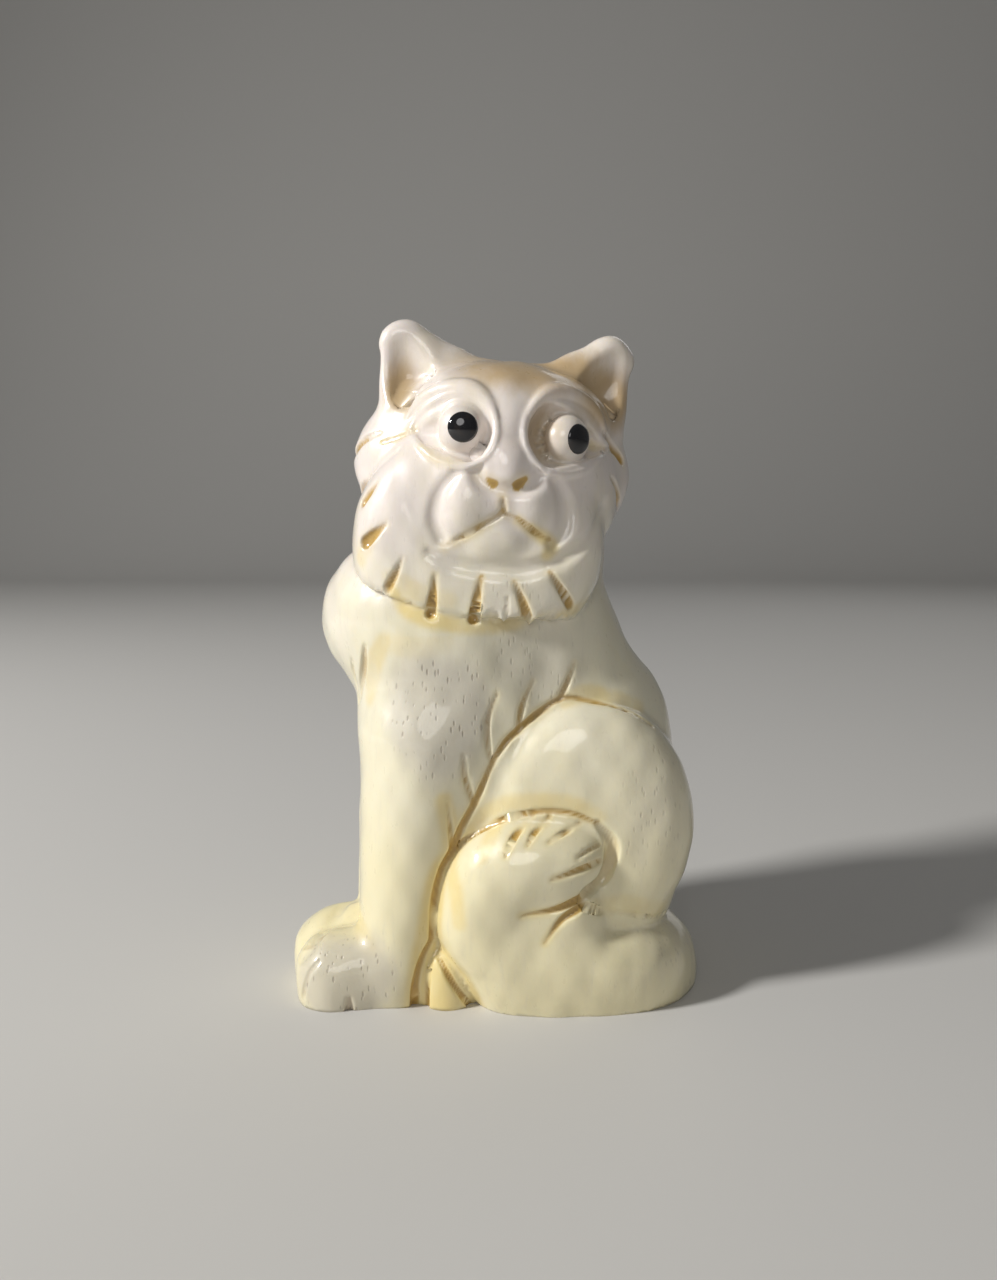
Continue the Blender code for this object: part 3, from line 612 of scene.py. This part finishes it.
for measure in (toLines, toEyes):
    closeBy = inParts(measure, points(cat)) < catBody["fineWithin"]
    fine = bmesh.new()
    fine.from_mesh(cat.data)
    fine.verts.ensure_lookup_table()
    close = [e for e in fine.edges if closeBy[e.verts[0].index] and closeBy[e.verts[1].index]]
    bmesh.ops.subdivide_edges(fine, edges=close, cuts=1, use_grid_fill=True)
    bmesh.ops.triangulate(fine, faces=[f for f in fine.faces if len(f.verts) > 4])
    fine.to_mesh(cat.data)
    fine.free()
settle(cat, carved, 3)
applyModifier(cat, "SMOOTH", factor=0.5, iterations=2)
settle(cat, carved, 1)
report(f"carved, {len(cat.data.vertices)} points")

# Trim the underside flat and bring the figure to its place in the frame
body = bmesh.new()
body.from_mesh(cat.data)
everything = body.verts[:] + body.edges[:] + body.faces[:]
foot = (0, 0, catBody["foot"])
trim = bmesh.ops.bisect_plane(
    body, geom=everything, plane_co=foot, plane_no=(0, 0, -1), clear_outer=True
)
rim = [edge for edge in trim["geom_cut"] if isinstance(edge, bmesh.types.BMEdge)]
bmesh.ops.holes_fill(body, edges=rim, sides=0)
bmesh.ops.triangulate(body, faces=[f for f in body.faces if len(f.verts) > 4])
body.to_mesh(cat.data)
body.free()
low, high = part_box("cat_body")
carvedAt = points(cat)
middle = (carvedAt.min(0) + carvedAt.max(0)) / 2
toFrame = (
    Matrix.Translation(((low.x + high.x) / 2, (low.y + high.y) / 2, low.z))
    @ Matrix.Scale(share, 4)
    @ Matrix.Translation((-middle[0], -middle[1], -catBody["foot"]))
)
cat.data.transform(toFrame)
cat.data.shade_smooth()
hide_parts("cat_body")
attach(cat, "root")
report(f"body of {len(cat.data.polygons)} faces")

# Where age has coloured the surface, and where shade is painted on, kept on the mesh for the
# material to read
ageing = {
    "depth": 0.42,         # how deep a line is when its amber is full
    "darkest": 1.6,
    "lineEdge": 0.3,
    "washReach": 1.0,
    "halo": (0.5, 0.7),    # strength and reach of the yellow beside every line
}
# Yellow washes: (across, up, reach) points as seen from the front, and how strong each is
washes = [
    # over the tail's curl, down the haunch's edge and round the hind toes
    ([
        (-5.3, 26.5, 0.3), (-1.9, 29.6, 0.5), (1.6, 31.2, 0.6), (6.7, 31.7, 0.6), (11, 31.2, 0.5),
        (14.6, 29.4, 0.3),
    ], 0.6),
    ([
        (-6.7, 24.2, 0.5), (-8.5, 21.2, 0.8), (-9.5, 16.7, 1), (-10.3, 10.6, 1.4),
        (-11.5, 5.2, 1.4), (-12.2, 0, 1.4),
    ], 0.8),
    ([(-9.7, 9.4, 1.2), (-9.1, 4, 1.8), (-8.6, 0, 2)], 0.9),
    ([(-8.5, 9.4, 1.2), (-6.4, 4.8, 1.8), (-3.4, 0.5, 1.8)], 0.9),
    # under the ruff's hem
    ([
        (-15, 61.7, 0.3), (-13.2, 59.2, 0.4), (-10.4, 57.8, 0.5), (-6.8, 57, 0.5),
        (-2.6, 56.6, 0.5), (1.6, 56.8, 0.5), (6.6, 57.3, 0.5), (10.1, 58.4, 0.4), (12.9, 60, 0.3),
    ], 0.8),
    # mouth, nose and corners of the eyes
    ([(2.7, 71.4, 0.1), (5.3, 69.6, 0.2), (7.4, 68.2, 0.4), (7, 66.6, 0.3)], 0.8),
    ([(-1.5, 71, 0.1), (-5, 69, 0.2), (-7.4, 67.8, 0.3)], 0.5),
    ([(0.6, 75.4, 0.3), (0.6, 72.6, 0.3)], 0.6),
    ([(-2.6, 77.4, 0.5), (0.4, 76, 0.5), (3.2, 77.2, 0.4)], 0.5),
    ([(-12.2, 84.1, 0.2), (-16.8, 82.5, 0.3)], 0.6),
    ([(-10.6, 81.4, 0.2), (-8, 79.6, 0.3), (-5, 79.2, 0.2)], 0.4),
    ([(13.6, 82, 0.2), (17, 81.3, 0.3)], 0.6),
    # shoulder, wrist, haunch and tail
    ([(-16.3, 54.3, 0.6), (-18.3, 49.9, 0.9), (-18.9, 45.5, 0.5)], 0.6),
    ([(-15, 54, 1), (-11.2, 53.4, 1), (-7.6, 54.2, 0.8)], 0.35),
    ([(-21.2, 14.6, 0.6), (-20.4, 11.5, 0.8), (-18.9, 9.4, 0.6)], 0.8),
    ([(-7.7, 31.7, 0.6), (-7, 27.3, 0.9), (-6.7, 24.1, 0.9)], 0.7),
    ([(-0.2, 28, 0.5), (-1.6, 25.9, 0.6), (-2.6, 24, 0.4)], 0.6),
    ([(-6.7, 22.6, 0.6), (-6.1, 18.4, 0.7), (-5.6, 14.7, 0.5)], 0.7),
    ([(9.6, 45.4, 0.6), (13.3, 46.3, 0.8), (20.5, 44.1, 0.6)], 0.6),
    ([(14, 16.4, 0.8), (19, 16.2, 1), (24, 14.5, 0.8)], 0.5),
    # mane and ruff
    ([(-15, 63.5, 0.8), (-11.5, 61.5, 0.8), (-7, 60.5, 0.6)], 0.45),
    ([(-19.5, 66, 0.6), (-17.5, 69.5, 0.6)], 0.45),
    ([(-9.3, 60, 0.2), (-9.6, 58.2, 0.3)], 0.7),
    ([(-3, 60, 0.2), (-3.5, 57.2, 0.3)], 0.7),
    ([(3.5, 60, 0.2), (4.2, 57.2, 0.3)], 0.7),
]


def amberOf(p):
    inLine = np.zeros(len(p))
    for (*_, strength), groove in zip(grooves, cuts):
        near = nearTo(p, groove, 0)
        edge = np.clip(1.2 - groove[2](p[near]) / ageing["lineEdge"], 0, 1)
        inLine[near] = np.maximum(inLine[near], strength * edge)
    sunk = np.clip(-form(p) / ageing["depth"], 0, ageing["darkest"])
    return inLine * sunk


def spread(p, amount, line, margin, strength, reach):
    near = nearTo(p, line, margin)
    d = np.maximum(line[2](p[near]), 0)
    amount[near] = np.maximum(amount[near], strength * np.exp(-((d / reach) ** 2)))


def washOf(p):
    amount = np.zeros(len(p))
    for (_, strength), trail in zip(washes, trails):
        spread(p, amount, trail, 3, strength, ageing["washReach"])
    haloShare, haloReach = ageing["halo"]
    for (*_, strength), groove in zip(grooves, cuts):
        spread(p, amount, groove, 1, haloShare * strength, haloReach)
    return amount


def keepOnMesh(name, values):
    layer = cat.data.attributes.new(name, "FLOAT", "POINT")
    layer.data.foreach_set("value", values.astype(np.float32))


def spots(p, places):
    amount = np.zeros(len(p))
    for centre, radii, strength in places:
        k = np.linalg.norm((p - np.array(centre)) / np.array(radii), axis=1)
        amount = np.maximum(amount, strength * np.clip(1.5 - k, 0, 1))
    return amount


# Tan on the top of the head, in the ears and between the eyes, with painted shade in one eye
# socket, and grey worn patches with open pores, with grey painted shade on the right of the haunch:
# the middle of each, its reach and how strong it is
tanPlaces = [
    (onHead(3, 14.8, 5), (12, 12, 4.5), 0.95), (onHead(13.5, 12.5, 5), (5, 8, 5), 1.2),
    (onHead(-16.2, 11.5, 3), (2.6, 5, 4.2), 0.9), (onHead(-1, 2.8, 14.5), (2.2, 3, 2.6), 0.4),
    # the spot at the nose side of the right-hand socket is painted shade, a darker brown where that
    # socket falls into shadow
    (onHead(11, 11, 8), (5, 5, 3.5), 0.6), (onHead(3.6, 6, 11.5), (3.4, 4, 5), 0.55),
]
wornAndShadePlaces = [
    ((-8.5, -14.5, 43.8), (7, 8, 8.5), 1.2), ((-22, -17, 5.5), (7.5, 6, 7), 1.1),
    ((6, -14, 52), (8, 8, 9), 0.55), ((14, 16, 33), (9, 8, 9), 0.7),
    # the patches at X 22 to 26, down the right of the haunch and flank, are painted shade that
    # darkens the side away from the key light
    ((-10, 14, 50), (8, 8, 9), 0.6), ((22, -12, 30), (6, 8, 12), 0.5),
    ((24, -10, 8), (8, 9, 6), 0.5), ((4, -16, 62), (9, 6, 3), 0.4), ((26, 0, 30), (6, 9, 8), 0.6),
    ((-3.5, -17, 74), (4, 4, 3.5), 0.35), ((5.5, -16, 74), (3.5, 4, 3.5), 0.4),
]
keepOnMesh("amber", inParts(amberOf, carvedAt))
trails = lay([("front", path) for path, _ in washes], 0)
keepOnMesh("wash", inParts(washOf, carvedAt))
keepOnMesh("tan", spots(carvedAt, tanPlaces))
keepOnMesh("wornAndShade", spots(carvedAt, wornAndShadePlaces))
report("colour of age laid")


# A node tree is built from short calls, so that each finish reads from top to bottom
class Tree:
    def __init__(self, name):
        self.material = bpy.data.materials.new(name)
        self.material.use_nodes = True
        self.nodes = self.material.node_tree.nodes
        self.links = self.material.node_tree.links
        self.shader = self.nodes["Principled BSDF"]

    def put(self, kind, settings=None, **inputs):
        node = self.nodes.new(kind)
        for name, value in (settings or {}).items():
            setattr(node, name, value)
        for name, value in inputs.items():
            self.give(node.inputs[name.replace("_", " ")], value)
        return node

    def give(self, socket, value):
        if isinstance(value, bpy.types.NodeSocket):
            self.links.new(value, socket)
        else:
            socket.default_value = value

    def noise(self, vector, scale, detail, roughness=0.5):
        values = {"Vector": vector, "Scale": scale, "Detail": detail, "Roughness": roughness}
        return self.put("ShaderNodeTexNoise", **values).outputs["Fac"]

    def stretch(self, value, low, high, toLow=0.0, toHigh=1.0):
        node = self.put(
            "ShaderNodeMapRange", {"interpolation_type": "SMOOTHSTEP"},
            Value=value, From_Min=low, From_Max=high, To_Min=toLow, To_Max=toHigh,
        )
        return node.outputs["Result"]

    def sum(self, operation, a, b=0.0, c=0.0):
        node = self.put("ShaderNodeMath", {"operation": operation})
        for socket, value in zip(node.inputs, (a, b, c)):
            self.give(socket, value)
        return node.outputs[0]

    def mix(self, amount, a, b):
        node = self.put("ShaderNodeMix", {"data_type": "RGBA", "clamp_factor": True})
        self.give(node.inputs["Factor"], amount)
        for socket, value in zip((node.inputs[6], node.inputs[7]), (a, b)):
            self.give(socket, value if isinstance(value, bpy.types.NodeSocket) else (*value, 1))
        return node.outputs[2]

    def kept(self, name):
        return self.put("ShaderNodeAttribute", {"attribute_name": name}).outputs["Fac"]

    def scaled(self, vector, scale):
        return self.put("ShaderNodeMapping", Vector=vector, Scale=scale).outputs["Vector"]

    def polish(self, coat, coatRoughness):
        self.shader.inputs["Coat Weight"].default_value = coat
        self.shader.inputs["Coat Roughness"].default_value = coatRoughness


ivoryLook = {
    "face": (0.84, 0.765, 0.715), "cream": (0.82, 0.775, 0.61), "butter": (0.83, 0.755, 0.49),
    "straw": (0.80, 0.63, 0.24), "tan": (0.54, 0.38, 0.19), "grey": (0.57, 0.53, 0.455),
    "amber": (0.52, 0.33, 0.08), "deepAmber": (0.33, 0.18, 0.04), "pore": (0.30, 0.25, 0.19),
    # scales of the patterns, in cells per metre
    "clouds": 110, "drift": 260, "ripple": 420, "poreField": 700, "grain": 1500, "fine": 1900,
    "pores": 2500,
    "roughness": (0.27, 0.40), "coat": (0.8, 0.07), "subsurface": (0.12, 0.0012), "ior": 1.54,
    "bump": 0.0001,
}


def ivoryFinish():
    t = Tree("polished ivory")
    place = t.put("ShaderNodeTexCoord").outputs["Object"]
    height = t.put("ShaderNodeSeparateXYZ", Vector=place).outputs["Z"]
    amber, wash, tan, wornAndShade = t.kept("amber"), t.kept("wash"), t.kept("tan"), t.kept("wornAndShade")
    clouds = t.noise(place, ivoryLook["clouds"], 5, 0.55)
    drift = t.noise(t.scaled(place, (1, 1, 0.45)), ivoryLook["drift"], 5, 0.6)
    fine = t.noise(t.scaled(place, (1, 1, 0.3)), ivoryLook["fine"], 4, 0.6)
    # the head is whiter, the foot yellower, and broad clouds run through both
    lift = t.sum("ADD", height, t.sum("MULTIPLY", t.sum("SUBTRACT", clouds, 0.5), 0.022))
    colour = t.mix(t.stretch(lift, 0.002, 0.03), ivoryLook["butter"], ivoryLook["cream"])
    colour = t.mix(t.stretch(lift, 0.030, 0.042), colour, ivoryLook["face"])
    colour = t.mix(t.stretch(drift, 0.42, 0.72, 0, 0.35), colour, ivoryLook["butter"])
    grain = t.noise(t.scaled(place, (1, 1, 0.16)), ivoryLook["grain"], 5, 0.65)
    colour = t.mix(t.stretch(grain, 0.5, 0.8, 0, 0.22), colour, ivoryLook["grey"])
    # tan, with the painted shade in one eye socket, and amber, their edges broken up by the drift
    about = t.sum("SUBTRACT", drift, 0.5)
    tanEdge = t.stretch(t.sum("ADD", tan, t.sum("MULTIPLY", about, 0.9)), 0.15, 0.95)
    colour = t.mix(t.sum("MULTIPLY", tanEdge, 0.9), colour, ivoryLook["tan"])
    brokenWash = t.sum("MULTIPLY", wash, t.stretch(drift, 0.15, 0.7, 0.45, 1.15))
    colour = t.mix(t.stretch(brokenWash, 0.05, 1.0, 0, 0.8), colour, ivoryLook["straw"])
    line = t.sum("MULTIPLY", amber, t.stretch(drift, 0.2, 0.7, 0.7, 1.15))
    colour = t.mix(t.stretch(line, 0.05, 0.8), colour, ivoryLook["amber"])
    colour = t.mix(t.stretch(line, 0.75, 1.4, 0, 0.5), colour, ivoryLook["deepAmber"])
    # worn patches, and painted shade on the right of the haunch: greyer, duller, with open pores
    # that run up the figure
    wornAndShadePatch = t.stretch(t.sum("ADD", wornAndShade, t.sum("MULTIPLY", about, 1.1)), 0.15, 0.85)
    colour = t.mix(t.sum("MULTIPLY", wornAndShadePatch, 0.7), colour, ivoryLook["grey"])
    poreCells = t.put(
        "ShaderNodeTexVoronoi", {"feature": "F1"},
        Vector=t.scaled(place, (1, 1, 0.33)), Scale=ivoryLook["pores"], Randomness=1.0,
    ).outputs["Distance"]
    poreField = t.noise(place, ivoryLook["poreField"], 3)
    pores = t.sum("MULTIPLY", t.stretch(poreCells, 0.30, 0.12), t.stretch(poreField, 0.36, 0.52))
    openPores = t.sum("MULTIPLY", pores, t.sum("MULTIPLY_ADD", wornAndShadePatch, 0.95, 0.03))
    colour = t.mix(t.sum("MULTIPLY", openPores, 0.5), colour, ivoryLook["pore"])
    t.give(t.shader.inputs["Base Color"], colour)
    smooth, dull = ivoryLook["roughness"]
    sheen = t.stretch(fine, 0.3, 0.75, smooth, dull)
    sheen = t.sum("ADD", sheen, t.sum("MULTIPLY", wornAndShadePatch, 0.14))
    t.give(t.shader.inputs["Roughness"], t.sum("ADD", sheen, t.sum("MULTIPLY", amber, 0.12)))
    glow, glowDepth = ivoryLook["subsurface"]
    t.shader.inputs["Subsurface Weight"].default_value = glow
    t.shader.inputs["Subsurface Radius"].default_value = (1.0, 0.75, 0.45)
    t.shader.inputs["Subsurface Scale"].default_value = glowDepth
    t.shader.inputs["IOR"].default_value = ivoryLook["ior"]
    t.polish(*ivoryLook["coat"])
    ripple = t.noise(t.scaled(place, (1, 1, 0.7)), ivoryLook["ripple"], 3, 0.5)
    relief = t.sum("ADD", t.sum("MULTIPLY", fine, 0.06), t.sum("MULTIPLY", ripple, 1.1))
    relief = t.sum("SUBTRACT", relief, t.sum("MULTIPLY", openPores, 0.6))
    bump = t.put("ShaderNodeBump", Strength=0.5, Distance=ivoryLook["bump"], Height=relief)
    t.give(t.shader.inputs["Normal"], bump.outputs["Normal"])
    return t.material


cat.data.materials.clear()
cat.data.materials.append(ivoryFinish())

# Pupils: domed discs of polished black, let into the eyeballs
pupil = {"radius": 0.00118, "depth": 0.0008, "dome": 0.00043, "rim": 0.00006, "steps": 96}
inlayLook = {
    "black": (0.010, 0.010, 0.012), "brown": (0.05, 0.032, 0.02), "roughness": (0.05, 0.14),
    "coat": (0.6, 0.03), "clouds": 1400, "bump": 0.00003,
}


def inlayFinish():
    t = Tree("polished black inlay")
    place = t.put("ShaderNodeTexCoord").outputs["Object"]
    clouds = t.noise(place, inlayLook["clouds"], 4, 0.6)
    colour = t.mix(t.stretch(clouds, 0.5, 0.8, 0, 0.5), inlayLook["black"], inlayLook["brown"])
    t.give(t.shader.inputs["Base Color"], colour)
    t.give(t.shader.inputs["Roughness"], t.stretch(clouds, 0.3, 0.8, *inlayLook["roughness"]))
    t.polish(*inlayLook["coat"])
    bump = t.put("ShaderNodeBump", Strength=0.15, Distance=inlayLook["bump"], Height=clouds)
    t.give(t.shader.inputs["Normal"], bump.outputs["Normal"])
    return t.material


black = inlayFinish()
for name, (across, up, out, away) in catBody["eyes"].items():
    turn = headTurn @ turned(z=away)
    forward = Vector(turn @ np.array((0, -1, 0)))
    ballShare = pupil["radius"] / share / catBody["eyeball"][0]
    rimOut = catBody["eyeball"][1] * math.sqrt(1 - ballShare**2)
    seat = Vector(onHead(across, up, out)) + forward * rimOut
    disc = bmesh.new()
    radius, rim = pupil["radius"], pupil["rim"]
    profile = [(0, -pupil["depth"]), (radius, -pupil["depth"]), (radius, -rim)]
    for a in np.radians(np.linspace(0, 90, 17)):
        r = (radius - rim) * math.cos(a) + rim * (1 - a / math.pi * 2) * 0.5
        profile.append((r, pupil["dome"] * math.sin(a)))
    profile[-1] = (0, pupil["dome"])
    verts = [disc.verts.new((r, 0, h)) for r, h in profile]
    edges = [disc.edges.new(pair) for pair in zip(verts, verts[1:])]
    bmesh.ops.spin(
        disc, geom=verts + edges, axis=(0, 0, 1), cent=(0, 0, 0),
        steps=pupil["steps"], angle=2 * math.pi, use_merge=True,
    )
    bmesh.ops.remove_doubles(disc, verts=disc.verts, dist=1e-7)
    bmesh.ops.recalc_face_normals(disc, faces=disc.faces)
    inlay = newObject("pupil_inlay_" + name, disc)
    facing = forward.to_track_quat("Z", "Y").to_matrix().to_4x4()
    inlay.data.transform(Matrix.Translation(toFrame @ seat) @ facing)
    inlay.data.shade_smooth()
    inlay.data.materials.append(black)
    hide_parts("pupil_" + name)
    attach(inlay, "root")
report("pupils set")

# A plain pale floor that runs up behind into a plain backdrop
studio = {"floor": (0.62, 0.61, 0.59), "dull": 0.8, "half": 1.2, "back": 0.55, "bend": 0.25}
sweep = bmesh.new()
outline = [(-studio["half"], 0)]
for a in np.linspace(0, math.pi / 2, 13):
    y = studio["back"] + studio["bend"] * math.sin(a)
    outline.append((y, studio["bend"] * (1 - math.cos(a))))
outline.append((studio["back"] + studio["bend"], studio["half"]))
verts = [sweep.verts.new((-studio["half"], y, z)) for y, z in outline]
edges = [sweep.edges.new(pair) for pair in zip(verts, verts[1:])]
grown = bmesh.ops.extrude_edge_only(sweep, edges=edges)
farEdge = [v for v in grown["geom"] if isinstance(v, bmesh.types.BMVert)]
bmesh.ops.translate(sweep, verts=farEdge, vec=(2 * studio["half"], 0, 0))
bmesh.ops.recalc_face_normals(sweep, faces=sweep.faces)
floor = newObject("floor", sweep)
floor.data.shade_smooth()
floorLook = Tree("plain paper")
floorLook.shader.inputs["Base Color"].default_value = (*studio["floor"], 1)
floorLook.shader.inputs["Roughness"].default_value = studio["dull"]
floor.data.materials.append(floorLook.material)

# Lights: place, size, power and colour. A key from the left and above, a broad low fill in front,
# a faint one from behind, and a pale sky.
sky = {"colour": (0.93, 0.93, 0.92, 1), "strength": 0.115}
lights = {
    "key": ((-0.44, -0.18, 0.30), 0.08, 3.1, (1.0, 0.985, 0.96)),
    "fill": ((-0.05, -0.55, 0.25), 0.25, 0.46, (1.0, 0.985, 0.97)),
    "rim": ((0.20, 0.34, 0.30), 0.25, 0.12, (1.0, 1.0, 1.0)),
}
for name, (place, size, power, colour) in lights.items():
    lamp = bpy.data.lights.new(name, "AREA")
    lamp.shape = "DISK"
    lamp.size = size
    lamp.energy = power
    lamp.color = colour
    obj = bpy.data.objects.new(name, lamp)
    obj.location = place
    obj.rotation_euler = (Vector((0, 0, 0.03)) - Vector(place)).to_track_quat("-Z", "Y").to_euler()
    bpy.context.scene.collection.objects.link(obj)
world = bpy.data.worlds.new("studio")
world.use_nodes = True
background = world.node_tree.nodes["Background"]
background.inputs["Color"].default_value = sky["colour"]
background.inputs["Strength"].default_value = sky["strength"]
bpy.context.scene.world = world

# The lens is written as focal length over picture height, both in pixels of the photograph
view = {"focal": 980, "height": 1280, "sensor": 36, "place": (0, -152, 71.5), "tilt": 83}
camera = bpy.data.objects.new("camera", bpy.data.cameras.new("camera"))
camera.data.lens = view["focal"] / view["height"] * view["sensor"]
camera.data.clip_start = 0.005
camera.data.clip_end = 10
camera.location = toFrame @ Vector(view["place"])
camera.rotation_euler = (math.radians(view["tilt"]), 0, 0)
bpy.context.scene.collection.objects.link(camera)
bpy.context.scene.camera = camera
bpy.context.scene.view_settings.view_transform = "Standard"

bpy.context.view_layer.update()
report("ready")
